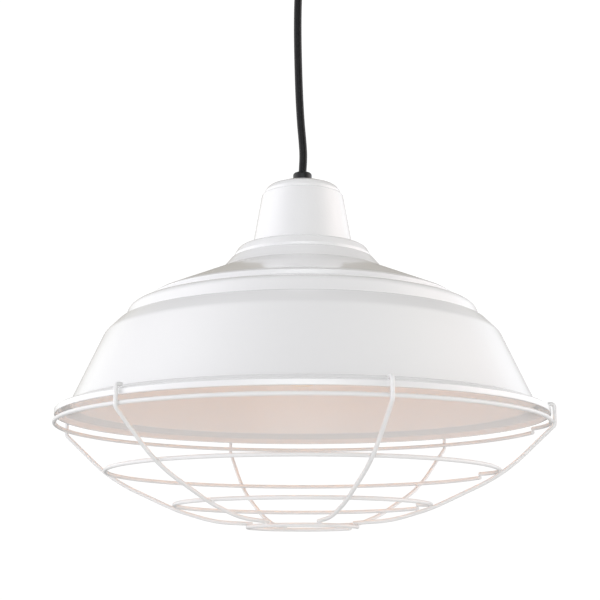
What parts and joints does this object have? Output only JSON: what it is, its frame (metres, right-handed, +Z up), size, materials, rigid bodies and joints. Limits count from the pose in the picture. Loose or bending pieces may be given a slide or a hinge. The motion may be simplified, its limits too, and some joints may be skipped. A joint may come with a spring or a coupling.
{
  "type": "pendant ceiling light",
  "caption": "Pendant light: white spun warehouse shade with a domed neck cap, sprung wire guard, black cord, ceiling canopy and a screw-in bulb.",
  "frame": {"origin": "centre of the ceiling mount: the crossbar's top face, in the ceiling plane, midway between its box screw slots", "axes": "+Z up, towards the ceiling; +X along the crossbar; the light hangs towards -Z"},
  "size_m": [0.4346, 0.4346, 0.5856],
  "materials": {
    "white_paint": "gloss powder coat",
    "guard_paint": "satin powder coat on steel wire",
    "zinc_steel": "zinc plated",
    "black_plastic": "moulded nylon",
    "black_rubber": "moulded rubber",
    "black_cord": "smooth round cord jacket",
    "black_wire": "wire insulation",
    "white_wire": "wire insulation",
    "copper_wire": "bare copper",
    "connector_plastic": "moulded",
    "green_screw": "dyed zinc",
    "brass": "plain",
    "porcelain": "glazed ceramic",
    "frosted_glass": "frosted",
    "clear_glass": "clear",
    "black_glass": "vitrified insulator",
    "nickel_shell": "plain rolled sheet",
    "solder": "solder",
    "tungsten": "coiled wire"
  },
  "bodies": {
    "ceiling": {"canopy": "white_paint", "crossbar": "zinc_steel", "canopy_studs": "zinc_steel", "canopy_cap_nuts": "white_paint", "canopy_gland": "black_plastic", "canopy_gland_nut": "black_plastic", "canopy_gland_locknut": "zinc_steel", "live_lead": "black_wire", "neutral_lead": "white_wire", "ground_lead": "copper_wire", "live_connector": "connector_plastic", "neutral_connector": "connector_plastic", "ground_screw": "green_screw"},
    "bush": {"cord_bush": "black_rubber"},
    "cord": {"cord": "black_cord"},
    "shade": {"gland_nut": "black_plastic", "gland_seal": "black_rubber", "cord_entry": "black_cord", "stem": "zinc_steel", "neck_cap": "white_paint", "shade": "white_paint", "neck_strap": "zinc_steel", "stem_locknut": "zinc_steel", "socket_cap": "zinc_steel", "socket_set_screw": "brass", "socket_body": "porcelain", "socket_screw_shell": "brass", "socket_contact": "brass", "terminal_screws": "brass", "socket_lead_live": "black_wire", "socket_lead_neutral": "white_wire"},
    "bulb_tip": {"bulb_contact": "solder"},
    "bulb": {"bulb_glass": "frosted_glass", "bulb_screw_shell": "nickel_shell", "bulb_insulator": "black_glass", "bulb_stem": "clear_glass", "filament_supports": "nickel_shell", "filament": "tungsten"},
    "guard": {"guard_hoop_1": "guard_paint", "guard_hoop_2": "guard_paint", "guard_hoop_3": "guard_paint", "guard_hoop_4": "guard_paint", "guard_rib_1": "guard_paint", "guard_rib_2": "guard_paint", "guard_rib_3": "guard_paint", "guard_rib_4": "guard_paint", "guard_rib_5": "guard_paint", "guard_rib_6": "guard_paint", "guard_hooks": "guard_paint"}
  },
  "joints": [
    {"name": "swing_x", "type": "hinge", "parent": "ceiling", "child": "bush", "pos_m": [0, 0, -0.04], "axis": [1, 0, 0], "range_deg": [-10, 10]},
    {"name": "swing_y", "type": "hinge", "parent": "bush", "child": "cord", "pos_m": [0, 0, -0.04], "axis": [0, 1, 0], "range_deg": [-10, 10]},
    {"name": "shade_twist", "type": "hinge", "parent": "cord", "child": "shade", "pos_m": [0, 0, -0.2648], "axis": [0, 0, 1], "range_deg": [-90, 90], "stiffness_Nm_per_rad": 0.02},
    {"name": "bulb_travel", "type": "slide", "parent": "shade", "child": "bulb_tip", "axis": [0, 0, -1], "range_m": [0, 0.01814]},
    {"name": "bulb_screw", "type": "hinge", "parent": "bulb_tip", "child": "bulb", "pos_m": [0, 0, -0.431], "axis": [0, 0, -1], "range_deg": [0, 1800]},
    {"name": "guard_release", "type": "slide", "parent": "shade", "child": "guard", "axis": [0, 0, -1], "range_m": [0, 0.11], "deforming": ["guard_hooks"]}
  ],
  "couplings": [
    {"joint": "bulb_screw", "follows": "bulb_travel", "rad_per_m": 1731.4}
  ]
}
